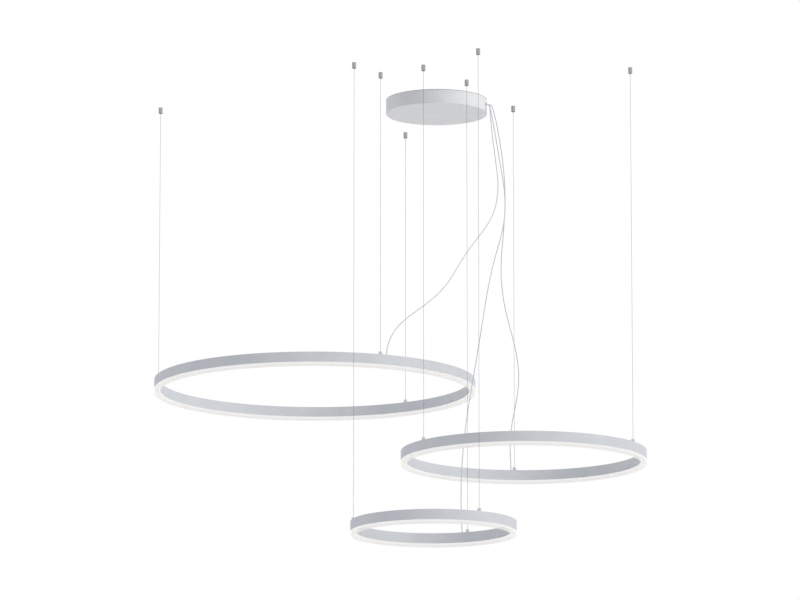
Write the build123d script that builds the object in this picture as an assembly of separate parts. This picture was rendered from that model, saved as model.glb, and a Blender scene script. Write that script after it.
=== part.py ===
from build123d import *
import os
from math import ceil, cos, degrees, hypot, pi, radians, sin, sqrt, tan

# LED ring chandelier: three horizontal rings on steel wires under a round canopy.
# Millimetres. The origin is on the ceiling at the canopy's axis, +Z is up and -Y is the front.
# Depths are measured down from the ceiling, and levels in a ring are measured down from its top face.

# ---- the rings' layout ----
large_diameter = 1200.0
medium_diameter = 900.0
small_diameter = 600.0
large_drop = 1057.0
medium_drop = 1394.0
small_drop = 1694.0
large_centre = (-456.0, 80.0)
medium_centre = (315.0, -334.0)
small_centre = (-17.0, -593.0)
large_wire_angle = 174.8
medium_wire_angle = 213.3
small_wire_angle = 184.1
wires_per_ring = 3

# the feed cord enters a ring this far along it from one of its wires
large_feed_step = 24.0
medium_feed_step = 13.0
small_feed_step = 22.0

# ---- the ring profile: a channel that opens downwards ----
profile_width = 22.0
channel_height = 37.5
channel_wall = 1.5
channel_roof = 2.0
channel_edge_radius = 0.6
ledge_level = 32.0
ledge_thickness = 1.5
ledge_reach = 5.0
snap_rib_level = 36.3
snap_rib_thickness = 0.6
snap_rib_reach = 0.5

# ---- the opal diffuser: a U that snaps into the channel's mouth ----
diffuser_drop = 13.0
diffuser_wall = 1.5
diffuser_floor = 1.8
diffuser_inset = 0.2
diffuser_edge_radius = 1.2
mouth_gap = 0.2
leg_thickness = 1.2
leg_clearance = 0.15
barb_height = 1.1
barb_overlap = 0.25

# ---- the LED tray and board ----
tray_thickness = 1.5
tray_side_clearance = 0.3
board_thickness = 1.2
board_width = 9.0
led_length = 3.5
led_width = 2.8
led_height = 0.8
led_pitch = 25.0
tray_screw_pitch = 300.0
tray_screw_radius = 1.5
tray_screw_length = 5.0
tray_screw_head_radius = 2.8
tray_screw_inset = 3.4
screw_clearance = 0.15

# ---- suspension wires and the holders on the rings ----
wire_diameter = 1.2
wire_end_ball = 3.4
holder_diameter = 13.0
holder_flange_height = 3.0
holder_height = 11.5
holder_spigot_diameter = 9.0
holder_cap_roof = 1.5
holder_edge_radius = 0.8
holder_stud_diameter = 6.0
holder_stud_length = 8.0
holder_nut_across_flats = 10.0
holder_nut_height = 4.0
wire_hole_clearance = 0.2
thread_clearance = 0.05
stud_hole_clearance = 0.2
fit_clearance = 0.1
touch_gap = 0.02
wire_stub = 0.3

# ---- ceiling grippers: anchor base, cup, barrel, spring, balls and release nose ----
cup_diameter = 15.0
cup_height = 22.0
cup_wall = 1.0
cup_floor = 2.5
cup_edge_radius = 0.6
base_height = 6.0
base_screw_hole = 4.5
base_countersink = 8.4
base_countersink_depth = 2.1
barrel_top_depth = 6.5
barrel_roof = 1.5
spring_height = 4.0
spring_turns = 4
spring_wire = 0.4
spring_radius = 2.1
spring_chamber_radius = 3.05
ball_diameter = 2.0
ball_count = 3
cone_half_angle = 7.0
cone_end_depth = 16.0
flange_chamber_radius = 4.2
nose_diameter = 5.0
nose_proud = 3.0
nose_tip_radius = 1.0
nose_bore_clearance = 0.1
nose_flange_radius = 3.8
nose_flange_height = 1.2
nose_neck_radius = 1.5

# ---- canopy ----
canopy_diameter = 380.0
canopy_bottom_depth = 55.5
shadow_gap = 2.0
cover_wall = 1.2
cover_lip = 5.0
cover_edge_radius = 2.0
plate_thickness = 2.0
plate_inset = 6.5
plate_hole_circle = 300.0
plate_hole_diameter = 5.0
plate_hole_count = 4
plate_hole_start = 45.0
mains_hole_diameter = 24.0
mains_hole_x = -135.0
mains_hole_y = 48.0

# ---- spring clips that carry the cover ----
clip_count = 4
clip_strip = 0.8
clip_width = 14.0
clip_foot_radius = 150.0
clip_knee_radius = 172.0
clip_heel_radius = 176.0
clip_heel_depth = 15.0
clip_catch_gap = 0.3
clip_catch_overlap = 2.5
clip_catch_bend = 1.5

# ---- cord outlet, clamp and drivers ----
outlet_angle = -14.0
outlet_depth = 27.0
outlet_opening = 15.5
outlet_opening_height = 6.0
outlet_rubber = 1.4
outlet_flange = 1.2
outlet_flange_thickness = 1.5
cord_diameter = 3.5
cord_spacing = 4.6
clamp_radius = 178.0
clamp_thickness = 7.0
clamp_width = 23.0
clamp_half_height = 4.5
clamp_groove_clearance = 0.3
clamp_screw_spread = 17.0
driver_front_x = 60.0
driver_height = 32.0
large_driver_size = (150.0, 46.0)
medium_driver_size = (130.0, 42.0)
small_driver_size = (105.0, 38.0)
large_driver_y = -58.0
medium_driver_y = 56.0
small_driver_y = 0.0
driver_edge_radius = 2.0
driver_ear_length = 11.0
driver_ear_width = 20.0
driver_ear_thickness = 2.5
terminal_size = (18.0, 32.0, 16.0)
terminal_pitch = 10.6
terminal_well_diameter = 5.2
terminal_well_depth = 8.0
terminal_x = -125.0
terminal_y = 0.0
lead_diameter = 5.0
lead_bend_radius = 10.0
lead_turn_step = 12.0
earth_x = -150.0
earth_y = -40.0
earth_stud_diameter = 4.0
earth_stud_length = 14.0
earth_nut_across_flats = 7.0
earth_nut_height = 3.2

# ---- pan-head screws under the plate ----
plate_screw_radius = 1.5
plate_screw_head_radius = 2.8
plate_screw_head_height = 2.0

# ---- rubber grommet where a feed cord enters a ring ----
grommet_flange_radius = 3.9
grommet_flange_height = 1.6
grommet_neck_radius = 3.1
grommet_bore_clearance = 0.25


class Ring:
    """One ring's name, size, place and the angles of what sits on it."""

    def __init__(self, name, diameter, drop, centre, wire_angle, feed_step, feed_wire):
        self.name = name
        self.outer = diameter / 2
        self.inner = self.outer - profile_width
        self.middle = self.outer - profile_width / 2
        self.drop = drop
        self.centre = centre
        self.wire_angles = [wire_angle + k * 360 / wires_per_ring for k in range(wires_per_ring)]
        self.feed_angle = self.wire_angles[feed_wire] + degrees(feed_step / self.middle)

    def spot(self, angle):
        """The point of the ring's middle circle at an angle, as x and y in the part's frame."""
        return (
            self.centre[0] + self.middle * cos(radians(angle)),
            self.centre[1] + self.middle * sin(radians(angle)),
        )

    def placed(self, shape):
        """A shape made about the ring's own axis, with its top face at zero, moved to its place."""
        return Pos(self.centre[0], self.centre[1], -self.drop) * shape


large = Ring(
    "large", large_diameter, large_drop, large_centre, large_wire_angle, large_feed_step, feed_wire=1
)
medium = Ring(
    "medium", medium_diameter, medium_drop, medium_centre, medium_wire_angle, medium_feed_step, feed_wire=2
)
small = Ring(
    "small", small_diameter, small_drop, small_centre, small_wire_angle, small_feed_step, feed_wire=2
)
rings = [large, medium, small]

# cuts run this far past the faces that they go through
past = 1.0


# ---- shapes used by several pieces ----
def turned(*outline):
    """A body of revolution about Z from a closed outline of (radius, height) points."""
    return revolve(Plane.XZ * make_face(Polyline(*outline, close=True)), Axis.Z)


def turned_round(outline, corners, radius):
    """The same, with the named outline corners rounded in the section."""
    face = make_face(Polyline(*outline, close=True))
    chosen = [v for v in face.vertices() if any(near(v, outline[k]) for k in corners)]
    return revolve(Plane.XZ * fillet(chosen, radius), Axis.Z)


def near(vertex, point):
    """True where a section's vertex is at a (radius, height) point."""
    return hypot(vertex.X - point[0], vertex.Y - point[1]) < touch_gap / 2


def rod(radius, top, bottom, x=0.0, y=0.0):
    """An upright cylinder between two heights."""
    return Pos(x, y, bottom) * extrude(Circle(radius), top - bottom)


def block(x_span, y_span, z_span):
    """A box between three pairs of coordinates."""
    size = [abs(b - a) for a, b in (x_span, y_span, z_span)]
    low = [min(pair) for pair in (x_span, y_span, z_span)]
    return Pos(*low) * Box(*size, align=(Align.MIN, Align.MIN, Align.MIN))


def hexagon(across_flats, top, bottom, x=0.0, y=0.0):
    """An upright hexagonal prism."""
    sketch = RegularPolygon(across_flats / sqrt(3), 6)
    return Pos(x, y, bottom) * extrude(sketch, top - bottom)


def countersunk_screw(head_radius, radius, length):
    """A countersunk screw with its head's flat face at zero and its tip up."""
    cone = head_radius - radius
    return turned((0, 0), (head_radius, 0), (radius, cone), (radius, length), (0, length))


def pan_screw(length):
    """A pan-head screw that hangs from zero: shank up, head below."""
    head = turned_round(
        [
            (0, -plate_screw_head_height),
            (plate_screw_head_radius, -plate_screw_head_height),
            (plate_screw_head_radius, 0),
            (0, 0),
        ],
        [1],
        plate_screw_head_height / 2,
    )
    return head + rod(plate_screw_radius, length, 0)


# ---- ring pieces, made about the ring's axis with the top face at zero ----
def channel(ring):
    """The aluminium channel: roof, two walls, two ledges for the tray and two snap ribs."""
    o, i = ring.outer, ring.inner
    wo, wi = o - channel_wall, i + channel_wall
    lo, li = wo - ledge_reach, wi + ledge_reach
    ro, ri = wo - snap_rib_reach, wi + snap_rib_reach
    ledge_top = -ledge_level + ledge_thickness
    rib_bottom = -snap_rib_level
    rib_top = rib_bottom + snap_rib_thickness
    outline = [
        (i, 0),
        (o, 0),
        (o, -channel_height),
        (wo, -channel_height),
        (wo, rib_bottom),
        (ro, rib_bottom),
        (ro, rib_top),
        (wo, rib_top),
        (wo, -ledge_level),
        (lo, -ledge_level),
        (lo, ledge_top),
        (wo, ledge_top),
        (wo, -channel_roof),
        (wi, -channel_roof),
        (wi, ledge_top),
        (li, ledge_top),
        (li, -ledge_level),
        (wi, -ledge_level),
        (wi, rib_top),
        (ri, rib_top),
        (ri, rib_bottom),
        (wi, rib_bottom),
        (wi, -channel_height),
        (i, -channel_height),
    ]
    body = turned_round(outline, [0, 1], channel_edge_radius)
    stud_hole = rod(holder_stud_diameter / 2 + stud_hole_clearance, past, -channel_roof - past)
    feed_hole = rod(grommet_neck_radius, past, -channel_roof - past)
    for angle in ring.wire_angles:
        body -= Rot(0, 0, angle) * Pos(ring.middle, 0, 0) * stud_hole
    body -= Rot(0, 0, ring.feed_angle) * Pos(ring.middle, 0, 0) * feed_hole
    for spot in tray_screw_spots(ring):
        body -= spot * rod(tray_screw_radius, ledge_top + past, -ledge_level - past)
    return body


def diffuser(ring):
    """The opal U: full width below the mouth, with two legs whose barbs hook over the snap ribs."""
    o, i = ring.outer - diffuser_inset, ring.inner + diffuser_inset
    wo, wi = o - diffuser_wall, i + diffuser_wall
    shoulder = -channel_height - mouth_gap
    bottom = -channel_height - diffuser_drop
    leg_step = channel_wall + snap_rib_reach + leg_clearance
    ao, ai = ring.outer - leg_step, ring.inner + leg_step
    bo, bi = ao - leg_thickness, ai + leg_thickness
    rib_top = -snap_rib_level + snap_rib_thickness
    barb_bottom = rib_top + leg_clearance
    barb_top = barb_bottom + barb_height
    reach = leg_clearance + barb_overlap
    wall_top = shoulder - diffuser_wall
    outline = [
        (i, shoulder),
        (i, bottom),
        (o, bottom),
        (o, shoulder),
        (ao, shoulder),
        (ao, barb_bottom),
        (ao + reach, barb_bottom),
        (ao, barb_top),
        (bo, barb_top),
        (bo, wall_top),
        (wo, wall_top),
        (wo, bottom + diffuser_floor),
        (wi, bottom + diffuser_floor),
        (wi, wall_top),
        (bi, wall_top),
        (bi, barb_top),
        (ai, barb_top),
        (ai - reach, barb_bottom),
        (ai, barb_bottom),
        (ai, shoulder),
    ]
    return turned_round(outline, [1, 2], diffuser_edge_radius)


def tray_screw_spots(ring):
    """Places of the tray's screws, in pairs near the outer and the inner wall by turns."""
    pairs = ceil(pi * ring.middle / tray_screw_pitch)
    side = profile_width / 2 - channel_wall - tray_screw_inset
    step = 180 / pairs
    places = []
    for k in range(2 * pairs):
        offset = side if k % 2 else -side
        places.append(Rot(0, 0, ring.wire_angles[0] + step / 2 + k * step) * Pos(ring.middle + offset, 0, 0))
    return places


def led_tray(ring):
    """The flat tray under the ledges, with countersunk screw holes and the cord's hole."""
    half = profile_width / 2 - channel_wall - tray_side_clearance
    top = -ledge_level
    bottom = top - tray_thickness
    tray = turned(
        (ring.middle - half, top),
        (ring.middle + half, top),
        (ring.middle + half, bottom),
        (ring.middle - half, bottom),
    )
    wide = tray_screw_head_radius + screw_clearance
    narrow = tray_screw_radius + screw_clearance
    hole = turned(
        (0, bottom - past),
        (wide, bottom - past),
        (wide, bottom),
        (narrow, bottom + wide - narrow),
        (narrow, top + past),
        (0, top + past),
    )
    for spot in tray_screw_spots(ring):
        tray -= spot * hole
    cord_hole = rod(cord_diameter / 2 + grommet_bore_clearance, top + past, bottom - past)
    return tray - Rot(0, 0, ring.feed_angle) * Pos(ring.middle, 0, 0) * cord_hole


def tray_screws(ring):
    """The countersunk screws that hold the tray up against the ledges."""
    screw = Pos(0, 0, -ledge_level - tray_thickness) * countersunk_screw(
        tray_screw_head_radius, tray_screw_radius, tray_screw_length
    )
    return [spot * screw for spot in tray_screw_spots(ring)]


def led_board(ring):
    """The ring-shaped LED board with its row of LEDs on the underside."""
    top = -ledge_level - tray_thickness
    bottom = top - board_thickness
    half = board_width / 2
    across, along = led_width / 2, led_length / 2
    board = turned(
        (ring.middle - half, top),
        (ring.middle + half, top),
        (ring.middle + half, bottom),
        (ring.middle - half, bottom),
    )
    count = round(2 * pi * ring.middle / led_pitch)
    led = block((-across, across), (-along, along), (bottom - led_height, bottom))
    leds = [Rot(0, 0, k * 360 / count) * Pos(ring.middle, 0, 0) * led for k in range(count)]
    return board + leds


def at_wires(ring, shape):
    """Copies of a shape at the ring's wires, with heights counted from the ring's top face."""
    return [ring.placed(Rot(0, 0, a) * Pos(ring.middle, 0, 0) * shape) for a in ring.wire_angles]


def holder_base():
    """The wire holder's flange, its spigot for the cap and its stud through the channel's roof."""
    ball_bottom = holder_height - holder_cap_roof - touch_gap - wire_end_ball
    flange = turned_round(
        [
            (0, 0),
            (holder_diameter / 2, 0),
            (holder_diameter / 2, holder_flange_height),
            (0, holder_flange_height),
        ],
        [1],
        holder_edge_radius / 2,
    )
    spigot = rod(holder_spigot_diameter / 2, ball_bottom - touch_gap, holder_flange_height)
    stud = rod(holder_stud_diameter / 2, 0, -holder_stud_length)
    return flange + spigot + stud


def holder_cap():
    """The cap that is screwed over the spigot and keeps the wire's ball end under its roof."""
    bore = holder_spigot_diameter / 2 + fit_clearance
    hole = wire_diameter / 2 + wire_hole_clearance
    under_roof = holder_height - holder_cap_roof
    return turned_round(
        [
            (bore, holder_flange_height),
            (holder_diameter / 2, holder_flange_height),
            (holder_diameter / 2, holder_height),
            (hole, holder_height),
            (hole, under_roof),
            (bore, under_roof),
        ],
        [2],
        holder_edge_radius,
    )


def holder_nut():
    """The nut on the holder's stud, under the channel's roof."""
    nut = hexagon(holder_nut_across_flats, -channel_roof, -channel_roof - holder_nut_height)
    hole = rod(holder_stud_diameter / 2 + thread_clearance, 0, -channel_roof - holder_nut_height - past)
    return nut - hole


def wire(ring):
    """A suspension wire from its ball end in the holder to its cut end in the ceiling gripper."""
    ball_centre = holder_height - holder_cap_roof - touch_gap - wire_end_ball / 2
    top = ring.drop - barrel_top_depth + wire_stub
    strand = rod(wire_diameter / 2, top, ball_centre)
    return strand + Pos(0, 0, ball_centre) * Sphere(wire_end_ball / 2)


def ring_grommet():
    """The rubber grommet in the channel's roof: a flange on top, a neck in the hole, a bead below."""
    bore = cord_diameter / 2 + grommet_bore_clearance
    bead = -channel_roof - grommet_flange_height
    return turned_round(
        [
            (bore, grommet_flange_height),
            (bore, bead),
            (grommet_flange_radius, bead),
            (grommet_flange_radius, -channel_roof),
            (grommet_neck_radius, -channel_roof),
            (grommet_neck_radius, 0),
            (grommet_flange_radius, 0),
            (grommet_flange_radius, grommet_flange_height),
        ],
        [7],
        grommet_flange_height / 2,
    )


# ---- ceiling grippers, made at the origin with heights counted from the ceiling ----
ball_orbit = wire_diameter / 2 + ball_diameter / 2 + touch_gap
ball_depth = barrel_top_depth + barrel_roof + spring_height + ball_diameter / 2 + touch_gap
cup_floor_depth = cup_height - cup_floor
cup_bore = cup_diameter / 2 - cup_wall


def cone_radius(depth):
    """The gripper barrel's bore at a depth: it touches the balls and narrows downwards."""
    at_balls = ball_orbit + ball_diameter / 2 + touch_gap
    return at_balls + (ball_depth - depth) * tan(radians(cone_half_angle))


def anchor_base():
    """The round base that one countersunk screw holds to the ceiling."""
    outer = cup_bore - fit_clearance
    hole = base_screw_hole / 2
    return turned(
        (hole, 0),
        (outer, 0),
        (outer, -base_height),
        (base_countersink / 2, -base_height),
        (hole, -base_height + base_countersink_depth),
    )


def gripper_cup():
    """The chrome cup that is screwed over the base and carries the gripper on its floor."""
    hole = nose_diameter / 2 + nose_bore_clearance
    return turned_round(
        [
            (cup_bore, 0),
            (cup_diameter / 2, 0),
            (cup_diameter / 2, -cup_height),
            (hole, -cup_height),
            (hole, -cup_floor_depth),
            (cup_bore, -cup_floor_depth),
        ],
        [2],
        cup_edge_radius,
    )


def gripper_barrel():
    """The barrel: a roof for the spring, the cone that wedges the balls and the nose's chamber."""
    outer = cup_bore - fit_clearance
    roof_depth = barrel_top_depth + barrel_roof
    cone_start = roof_depth + spring_height / 2
    chamber = max(spring_chamber_radius, cone_radius(cone_start))
    wire_hole = wire_diameter / 2 + wire_hole_clearance
    return turned(
        (wire_hole, -barrel_top_depth),
        (outer, -barrel_top_depth),
        (outer, -cup_floor_depth),
        (flange_chamber_radius, -cup_floor_depth),
        (flange_chamber_radius, -cone_end_depth),
        (cone_radius(cone_end_depth), -cone_end_depth),
        (cone_radius(cone_start), -cone_start),
        (chamber, -cone_start),
        (chamber, -roof_depth),
        (wire_hole, -roof_depth),
    )


def gripper_spring():
    """The coil spring between the barrel's roof and the balls."""
    lift = spring_height - spring_wire - touch_gap
    path = Helix(lift / spring_turns, lift, spring_radius)
    start = path.location_at(0)
    section = Plane(start.position, z_dir=path.tangent_at(0)) * Circle(spring_wire / 2)
    coil = sweep(section, path, is_frenet=True)
    bottom = barrel_top_depth + barrel_roof + spring_height - spring_wire / 2
    return Pos(0, 0, -bottom) * coil


def release_nose():
    """The release nose: a tip under the balls, a flange on the cup's floor and the part you push."""
    bore = wire_diameter / 2 + nose_bore_clearance
    tip = -ball_depth - ball_diameter / 2 - touch_gap
    flange_top = -cup_floor_depth + nose_flange_height
    bottom = -cup_height - nose_proud
    return turned_round(
        [
            (bore, tip),
            (nose_neck_radius, tip),
            (nose_neck_radius, flange_top),
            (nose_flange_radius, flange_top),
            (nose_flange_radius, -cup_floor_depth),
            (nose_diameter / 2, -cup_floor_depth),
            (nose_diameter / 2, bottom),
            (bore, bottom),
        ],
        [6],
        nose_tip_radius,
    )


def clamping_balls():
    """The three balls around the wire, which ride on the release nose."""
    ball = Pos(ball_orbit, 0, -ball_depth) * Sphere(ball_diameter / 2)
    return [Rot(0, 0, k * 360 / ball_count) * ball for k in range(ball_count)]


# ---- canopy pieces ----
canopy_radius = canopy_diameter / 2
lip_radius = canopy_radius - cover_lip
plate_radius = canopy_radius - plate_inset
outlet_axis = Rot(0, 0, outlet_angle)


def ceiling_plate():
    """The round plate that is screwed to the ceiling, with its holes and the mains entry."""
    holes = []
    for k in range(plate_hole_count):
        angle = plate_hole_start + k * 360 / plate_hole_count
        holes.append(Rot(0, 0, angle) * Pos(plate_hole_circle / 2, 0, 0) * plate_hole(plate_hole_diameter / 2))
    holes += [spot * plate_hole(plate_screw_radius) for spot, _ in plate_screw_places()]
    holes.append(Pos(mains_hole_x, mains_hole_y, 0) * plate_hole(mains_hole_diameter / 2))
    holes.append(Pos(earth_x, earth_y, 0) * plate_hole(earth_stud_diameter / 2 + thread_clearance))
    return rod(plate_radius, 0, -plate_thickness) - holes


def plate_hole(radius):
    """The cutter for a round hole through the plate, at the origin."""
    return rod(radius, past, -plate_thickness - past)


def canopy_cover():
    """The drum cover: a flat bottom, a side wall, a lip turned in at the top and the cord outlet."""
    top = -shadow_gap
    bottom = -canopy_bottom_depth
    outer = [
        (0, bottom),
        (canopy_radius, bottom),
        (canopy_radius, top),
        (lip_radius, top),
        (lip_radius, top - cover_wall),
        (canopy_radius - cover_wall, top - cover_wall),
        (canopy_radius - cover_wall, bottom + cover_wall),
        (0, bottom + cover_wall),
    ]
    cover = turned_round(outer, [1], cover_edge_radius)
    return cover - outlet_prism(outlet_rubber, canopy_radius - 2 * cover_wall, canopy_radius + cover_wall)


def outlet_prism(margin, start, end):
    """A rounded slot through the side wall at the outlet, wider than the opening by a margin."""
    height = outlet_opening_height + 2 * margin
    width = outlet_opening + 2 * margin
    slot = Rot(0, 90, 0) * Rot(0, 0, 90) * SlotOverall(width, height)
    return outlet_axis * Pos(start, 0, -outlet_depth) * extrude(slot, end - start, dir=(1, 0, 0))


def outlet_grommet():
    """The rubber edging of the outlet: a neck in the wall between two flanges."""
    inside = canopy_radius - cover_wall - outlet_flange_thickness - fit_clearance
    outside = canopy_radius + outlet_flange_thickness
    flanges = outlet_prism(outlet_rubber + outlet_flange, inside, outside)
    wall = turned(
        (canopy_radius - cover_wall, -canopy_bottom_depth),
        (canopy_radius, -canopy_bottom_depth),
        (canopy_radius, 0),
        (canopy_radius - cover_wall, 0),
    )
    neck = outlet_prism(outlet_rubber, inside, outside)
    opening = outlet_prism(0, inside - past, outside + past)
    return (flanges - wall) + neck - opening


def cover_clip():
    """A spring-steel clip: a foot under the plate, a knee, a heel and a catch under the lip."""
    foot = -plate_thickness - clip_strip / 2
    catch = -shadow_gap - cover_wall - clip_catch_gap - clip_strip / 2
    path = Polyline(
        (clip_foot_radius, foot),
        (clip_knee_radius, foot),
        (clip_heel_radius, -clip_heel_depth),
        (lip_radius - clip_catch_bend, catch),
        (lip_radius + clip_catch_overlap, catch),
    )
    strip = extrude(Plane.XZ * trace(path, clip_strip), clip_width / 2, both=True)
    hole = rod(plate_screw_radius, 0, -plate_thickness - clip_strip - past, clip_screw_radius, 0)
    return strip - hole


clip_screw_radius = clip_foot_radius + clip_width / 2


def clip_angles():
    """Angles of the clips, between the ceiling screws."""
    return [plate_hole_start + (k + 0.5) * 360 / clip_count for k in range(clip_count)]


def driver_places():
    """Each driver's length, width and side position."""
    return {
        "large": (*large_driver_size, large_driver_y),
        "medium": (*medium_driver_size, medium_driver_y),
        "small": (*small_driver_size, small_driver_y),
    }


def driver(name):
    """A potted LED driver under the plate, with a mounting ear at each end."""
    length, width, y = driver_places()[name]
    back = driver_front_x - length
    top = -plate_thickness
    body = block((back, driver_front_x), (y - width / 2, y + width / 2), (top - driver_height, top))
    body = fillet(body.edges().filter_by(Axis.Z), driver_edge_radius)
    ears = block(
        (back - driver_ear_length, driver_front_x + driver_ear_length),
        (y - driver_ear_width / 2, y + driver_ear_width / 2),
        (top - driver_ear_thickness, top),
    )
    shape = body + ears
    for x in driver_screw_xs(name):
        shape -= rod(plate_screw_radius, 0, top - driver_ear_thickness - past, x, y)
    return shape


def driver_screw_xs(name):
    """The two screws' positions along X, in the middle of the ears."""
    length = driver_places()[name][0]
    middle = driver_ear_length / 2
    return (driver_front_x - length - middle, driver_front_x + middle)


def plate_screw_places():
    """Each screw hole of the plate, with the thickness of the piece that its screw holds."""
    places = []
    for angle in clip_angles():
        places.append((Rot(0, 0, angle) * Pos(clip_screw_radius, 0, 0), clip_strip))
    for name in driver_places():
        for x in driver_screw_xs(name):
            places.append((Pos(x, driver_places()[name][2], 0), driver_ear_thickness))
    for side in (-1, 1):
        places.append(
            (
                outlet_axis * Pos(clamp_radius, side * clamp_screw_spread / 2, 0),
                outlet_depth + clamp_half_height - plate_thickness,
            )
        )
    return places


def plate_screws():
    """All pan-head screws under the plate."""
    screws = []
    for spot, held in plate_screw_places():
        screws.append(spot * Pos(0, 0, -plate_thickness - held) * pan_screw(held + plate_thickness))
    return screws


def clamp_half(z_span):
    """A block across the three cords, with their grooves and its two screw holes."""
    back = clamp_radius - clamp_thickness / 2
    front = clamp_radius + clamp_thickness / 2
    half = block((back, front), (-clamp_width / 2, clamp_width / 2), z_span)
    groove = Rot(0, 90, 0) * rod(cord_diameter / 2 + clamp_groove_clearance, front + past, back - past)
    for k in (-1, 0, 1):
        half -= Pos(0, k * cord_spacing, -outlet_depth) * groove
    for side in (-1, 1):
        half -= rod(plate_screw_radius, 0, -canopy_bottom_depth, clamp_radius, side * clamp_screw_spread / 2)
    return outlet_axis * half


def mains_terminal():
    """The terminal block under the plate, with screw wells in its lower face and wire holes."""
    length, width, height = terminal_size
    top = -plate_thickness
    body = block(
        (terminal_x - length / 2, terminal_x + length / 2),
        (terminal_y - width / 2, terminal_y + width / 2),
        (top - height, top),
    )
    well_top = top - height + terminal_well_depth
    for k in (-1, 0, 1):
        for side in (-1, 1):
            well = rod(terminal_well_diameter / 2, well_top, top - height - past)
            body -= Pos(terminal_x + side * length / 4, terminal_y + k * terminal_pitch, 0) * well
    return body


def supply_leads():
    """The sheathed leads from the terminal block to the back of each driver."""
    start_x = terminal_x + terminal_size[0] / 2
    depth = -plate_thickness - terminal_size[2] / 2
    turn_x = start_x + lead_turn_step
    leads = []
    for k, name in ((-1, "large"), (0, "small"), (1, "medium")):
        length, _, y = driver_places()[name]
        begin = (start_x, terminal_y + k * terminal_pitch, depth)
        end = (driver_front_x - length, y, depth)
        if k == 0:
            path = Line(begin, (end[0], begin[1], depth))
        else:
            corners = [begin, (turn_x, begin[1], depth), (turn_x, y, depth), end]
            path = FilletPolyline(*corners, radius=lead_bend_radius)
        section = Plane(path @ 0, z_dir=path % 0) * Circle(lead_diameter / 2)
        leads.append(sweep(section, path))
    return leads


def earth_stud():
    """The earth stud with its nut, under the plate."""
    stud = rod(earth_stud_diameter / 2, 0, -earth_stud_length, earth_x, earth_y)
    nut_top = -plate_thickness
    return stud + hexagon(earth_nut_across_flats, nut_top, nut_top - earth_nut_height, earth_x, earth_y)


# ---- feed cords ----
def outlet_point(radius, offset):
    """A point on a cord's straight way out, at a radius, beside the outlet's axis."""
    a = radians(outlet_angle)
    return (
        radius * cos(a) - offset * sin(a),
        radius * sin(a) + offset * cos(a),
        -outlet_depth,
    )


straight_start = 167.0
straight_end = 197.0

large_route = (
    [(60, -56, -27), (78, -56, -27), (106, -48, -27), (133, -37.5, -27)]
    + [outlet_point(straight_start, -cord_spacing), outlet_point(straight_end, -cord_spacing)]
    + [
        (199.5, -56.5, -38),
        (200, -61.5, -59),
        (202, -70.5, -92),
        (206.5, -82, -142),
        (212, -94, -196),
        (218.5, -107, -250),
        (225, -122, -304),
        (228, -140, -357),
        (225, -159, -409),
        (215, -179, -459),
        (196.5, -200, -505),
        (170.5, -222, -549),
        (141, -245, -591),
        (112.5, -268.5, -634),
        (87, -291, -678),
        (64, -313, -722),
        (40, -335, -765),
        (9, -356, -806),
        (-28, -376, -843),
        (-70, -394, -878),
        (-113, -409, -912),
        (-151, -422, -951),
        (-177, -434, -998),
    ]
)
medium_route = (
    [(60, 52, -27), (80, 52, -27), (110, 39, -27), (128, 9, -27), (142, -21, -27)]
    + [outlet_point(straight_start, cord_spacing), outlet_point(straight_end, cord_spacing)]
    + [
        (211, -45.5, -31.5),
        (219, -45, -46),
        (224, -43.5, -78),
        (231, -40, -126),
        (239, -34.5, -181),
        (246.5, -27.5, -236),
        (252.5, -19.5, -291),
        (256, -10.5, -347),
        (256.5, -1, -402),
        (254, 8.5, -457),
        (249.5, 17.5, -512),
        (244.5, 26.5, -567),
        (241, 35.5, -622),
        (241.5, 44, -677),
        (246.5, 51.5, -732),
        (256, 58, -787),
        (269, 64, -841),
        (283.5, 69.5, -894),
        (296.5, 74, -947),
        (305.5, 78, -1003),
        (307, 81.5, -1060),
        (301, 85, -1116),
        (290, 88, -1171),
        (279.5, 92, -1226),
        (273.5, 96, -1282),
        (274, 100, -1334),
    ]
)
small_route = (
    [(60, 0, -27), (80, 0, -27), (106, -9, -27), (134, -26, -27)]
    + [outlet_point(straight_start, 0), outlet_point(straight_end, 0)]
    + [
        (203.5, -51, -33.5),
        (207, -54, -51),
        (211, -57.5, -84),
        (218, -63, -134),
        (225.5, -70.5, -188),
        (233.5, -78, -242),
        (242, -85, -295),
        (250, -92.5, -348),
        (254.5, -100.5, -402),
        (254, -108.5, -456),
        (247.5, -117, -510),
        (235, -126, -563),
        (220, -135, -616),
        (206.5, -144.5, -669),
        (195, -154.5, -722),
        (185, -165, -775),
        (176.5, -176, -829),
        (168, -187, -882),
        (160, -198.5, -935),
        (151.5, -210.5, -988),
        (143, -222, -1040),
        (134.5, -234, -1093),
        (125.5, -246, -1146),
        (117, -257.5, -1199),
        (109, -268.5, -1252),
        (102, -279, -1306),
        (96, -289, -1360),
        (91.5, -298.5, -1414),
        (88, -307, -1469),
        (86, -314, -1524),
        (85.5, -319, -1579),
        (87, -322.5, -1632),
    ]
)
routes = {"large": large_route, "medium": medium_route, "small": small_route}
last_bend_height = 14.0
bend_share = 0.45


def cord_points(ring):
    """The whole route: from the driver, out of the canopy and down to the board in the ring."""
    x, y = ring.spot(ring.feed_angle)
    board_top = -ring.drop - ledge_level - tray_thickness
    return routes[ring.name] + [(x, y, -ring.drop + last_bend_height), (x, y, board_top)]


def cord_radii(points):
    """For each corner: a share of the shorter run, over the tangent of half the turn."""
    radii = []
    for a, b, c in zip(points, points[1:], points[2:]):
        before = Vector(*b) - Vector(*a)
        after = Vector(*c) - Vector(*b)
        half_turn = radians(before.get_angle(after)) / 2
        radii.append(bend_share * min(before.length, after.length) / tan(half_turn))
    return radii


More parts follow.
